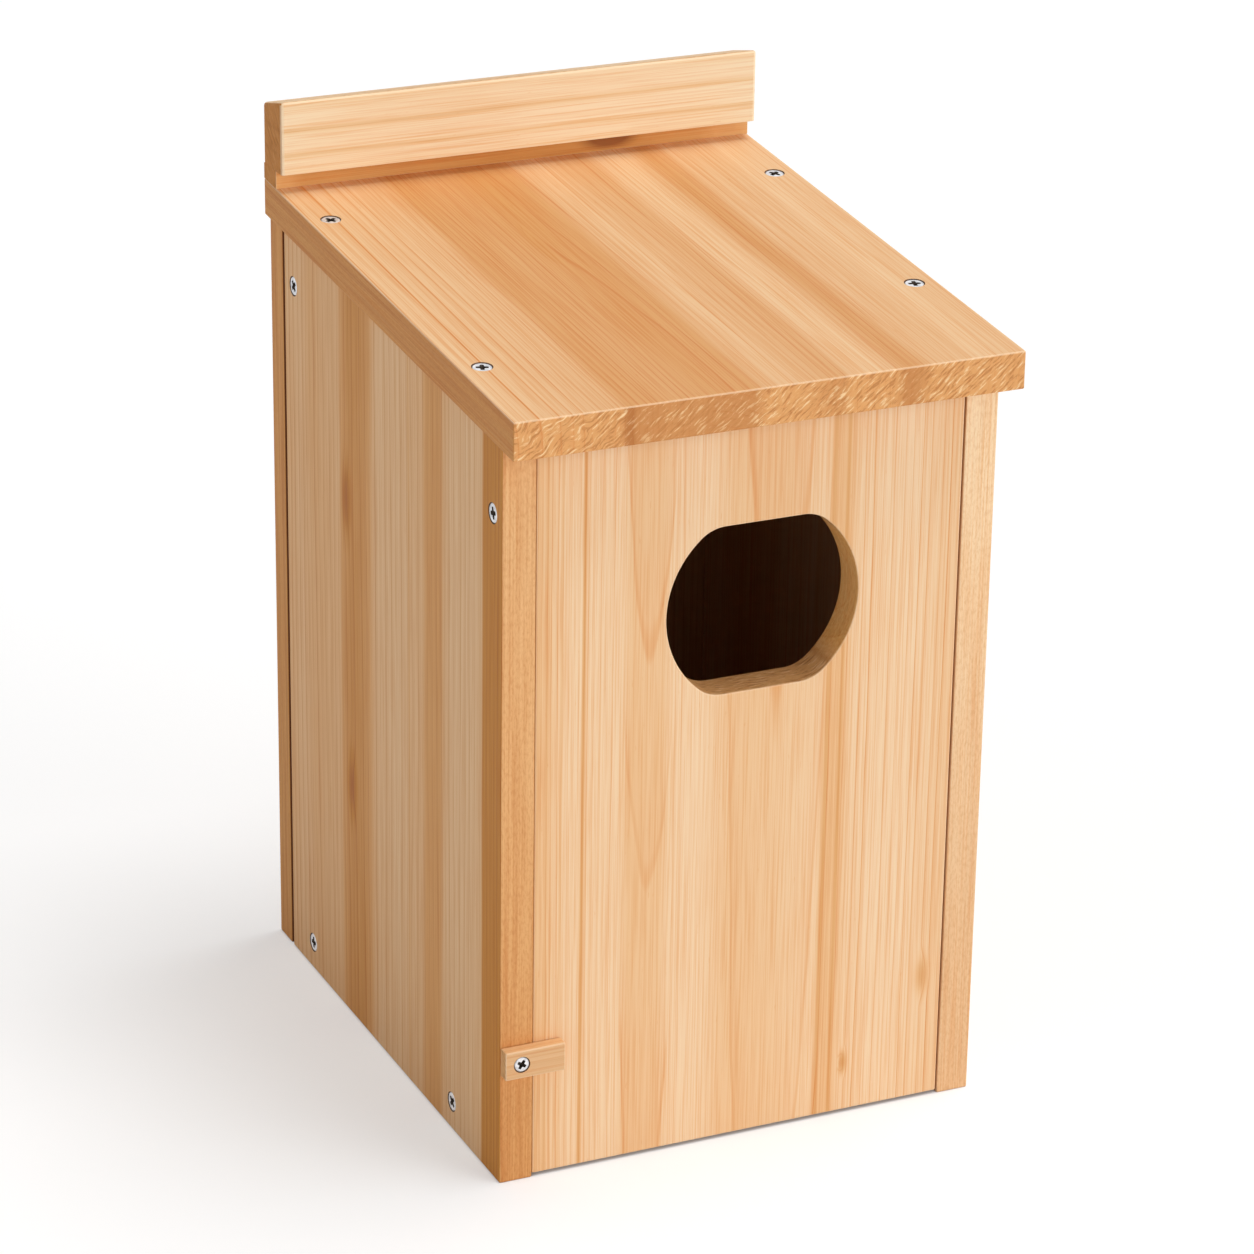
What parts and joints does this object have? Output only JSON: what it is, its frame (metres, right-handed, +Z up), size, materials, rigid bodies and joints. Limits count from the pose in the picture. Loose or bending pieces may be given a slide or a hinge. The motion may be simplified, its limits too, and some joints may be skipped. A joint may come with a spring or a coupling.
{
  "type": "duck house",
  "caption": "Wooden duck nest box with a sloping roof, a rail above its rear edge, a flat-topped round entrance and a front clean-out panel that pivots near its top behind a turn button.",
  "frame": {"origin": "on the ground under the middle of the whole part, roof overhang included", "axes": "+Z up, -Y out of the entrance, +X to the right of someone facing the entrance"},
  "size_m": [0.276, 0.3384, 0.493],
  "materials": {
    "side_wood": "planed softwood, unfinished",
    "front_wood": "planed softwood, unfinished",
    "back_wood": "planed softwood, unfinished",
    "inner_wood": "sawn softwood, unfinished",
    "roof_wood": "planed softwood, unfinished",
    "riser_wood": "planed softwood, unfinished",
    "rail_wood": "planed softwood, unfinished",
    "button_wood": "planed softwood, unfinished",
    "zinc_screw": "bright zinc plate"
  },
  "bodies": {
    "box": {"left_side_panel": "side_wood", "right_side_panel": "side_wood", "back_panel": "back_wood", "floor_panel": "inner_wood", "roof_panel": "roof_wood", "rail_riser": "riser_wood", "mounting_rail": "rail_wood", "rear_top_cleat": "inner_wood", "latch_screw": "zinc_screw", "roof_screws_left": "zinc_screw", "roof_screws_right": "zinc_screw", "floor_screws_left": "zinc_screw", "floor_screws_right": "zinc_screw", "cleat_screw_left": "zinc_screw", "cleat_screw_right": "zinc_screw", "back_screws_left": "zinc_screw", "back_screws_right": "zinc_screw", "back_floor_screws": "zinc_screw", "back_cleat_screws": "zinc_screw", "rail_screws": "zinc_screw"},
    "door": {"front_panel": "front_wood", "pivot_screw_left": "zinc_screw", "pivot_screw_right": "zinc_screw"},
    "button": {"turn_button": "button_wood"}
  },
  "joints": [
    {"name": "door_pivot", "type": "hinge", "parent": "box", "child": "door", "pos_m": [0, -0.1368, 0.363], "axis": [-1, 0, 0], "range_deg": [0, 110]},
    {"name": "button_turn", "type": "hinge", "parent": "box", "child": "button", "pos_m": [-0.126, -0.1527, 0.07], "axis": [0, -1, 0], "range_deg": [-90, 90]}
  ]
}
